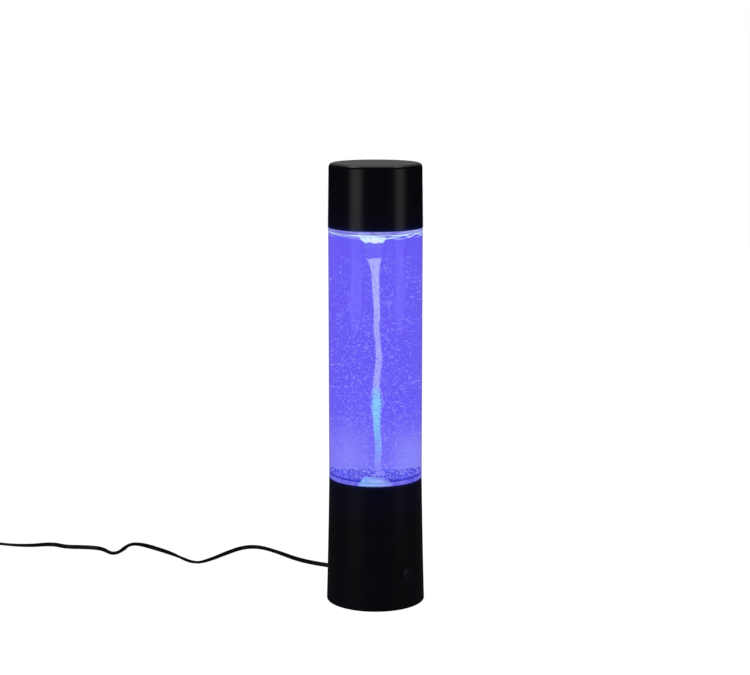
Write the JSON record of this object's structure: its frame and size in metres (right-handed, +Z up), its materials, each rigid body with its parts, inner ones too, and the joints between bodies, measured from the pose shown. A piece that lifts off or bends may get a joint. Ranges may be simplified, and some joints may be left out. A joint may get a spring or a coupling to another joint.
{
  "type": "led table lamp",
  "caption": "Slim round LED water-vortex table lamp: black base with a push button, clear water tube with a funnel lit from below, lift-off black cap and a thin cord.",
  "frame": {"origin": "centre of the base at the level of the table", "axes": "+Z up along the tube, -Y out of the push button, +Y out of the cord's exit"},
  "size_m": [0.3267, 0.4419, 0.38],
  "materials": {
    "satin_black": "satin",
    "inner_black": "matte",
    "button_black": "satin",
    "clear_acrylic": "polished, clear",
    "plug_clear": "moulded, milky clear",
    "seal_clear": "milky silicone",
    "disc_clear": "polished, clear",
    "lit_water": "clear, lit violet-blue",
    "impeller_white": "moulded",
    "led_lens": "clear lens",
    "circuit_board": "solder mask",
    "connector_white": "moulded",
    "contact_brass": "bare",
    "motor_steel": "zinc plated",
    "magnet_steel": "nickel plated",
    "screw_steel": "bright",
    "plug_metal": "nickel plated",
    "rubber": "matte",
    "cord_black": "satin vinyl",
    "wire_red": "satin vinyl",
    "wire_white": "satin vinyl"
  },
  "bodies": {
    "lamp": {"base_shell": "satin_black", "bottom_cover": "inner_black", "cover_screws": "screw_steel", "rubber_feet": "rubber", "button_switch": "inner_black", "control_board": "circuit_board", "board_parts": "connector_white", "tube_seat": "clear_acrylic", "seat_screws": "screw_steel", "impeller_pin": "screw_steel", "thrust_washer": "connector_white", "flow_disc": "disc_clear", "clear_tube": "clear_acrylic", "water_column": "lit_water", "motor_mount": "inner_black", "mount_screws": "screw_steel", "led_board": "circuit_board", "leds": "led_lens", "motor_can": "motor_steel", "motor_end_cap": "inner_black", "motor_terminals": "contact_brass", "motor_screws": "screw_steel", "cord_grommet": "cord_black", "power_lead": "cord_black", "motor_leads": "wire_red", "led_leads": "wire_white", "cord_coil": "cord_black", "coil_tie": "cord_black", "cord_run": "cord_black", "cord_tail": "cord_black", "plug_body": "cord_black", "plug_sleeve": "plug_metal", "plug_tongue": "connector_white"},
    "drive_rotor": {"motor_shaft": "screw_steel", "magnet_carrier": "inner_black", "drive_magnets": "magnet_steel"},
    "impeller_rotor": {"impeller": "impeller_white", "impeller_magnets": "magnet_steel"},
    "button": {"mode_button": "button_black", "switch_plunger": "inner_black"},
    "cap": {"cap_shell": "satin_black", "cap_plug": "plug_clear", "plug_seal": "seal_clear"}
  },
  "joints": [
    {"name": "button_press", "type": "slide", "parent": "lamp", "child": "button", "axis": [0, 1, 0], "range_m": [0, 0.001], "stiffness_N_per_m": 800, "springref_m": -0.001},
    {"name": "cap_lift", "type": "slide", "parent": "lamp", "child": "cap", "axis": [0, 0, 1], "range_m": [0, 0.05]},
    {"name": "drive_spin", "type": "hinge", "parent": "lamp", "child": "drive_rotor", "pos_m": [0, 0, 0.087], "axis": [0, 0, 1], "continuous": true},
    {"name": "impeller_spin", "type": "hinge", "parent": "lamp", "child": "impeller_rotor", "pos_m": [0, 0, 0.099], "axis": [0, 0, 1], "continuous": true}
  ],
  "couplings": [
    {"joint": "drive_spin", "follows": "impeller_spin", "ratio": 1}
  ]
}
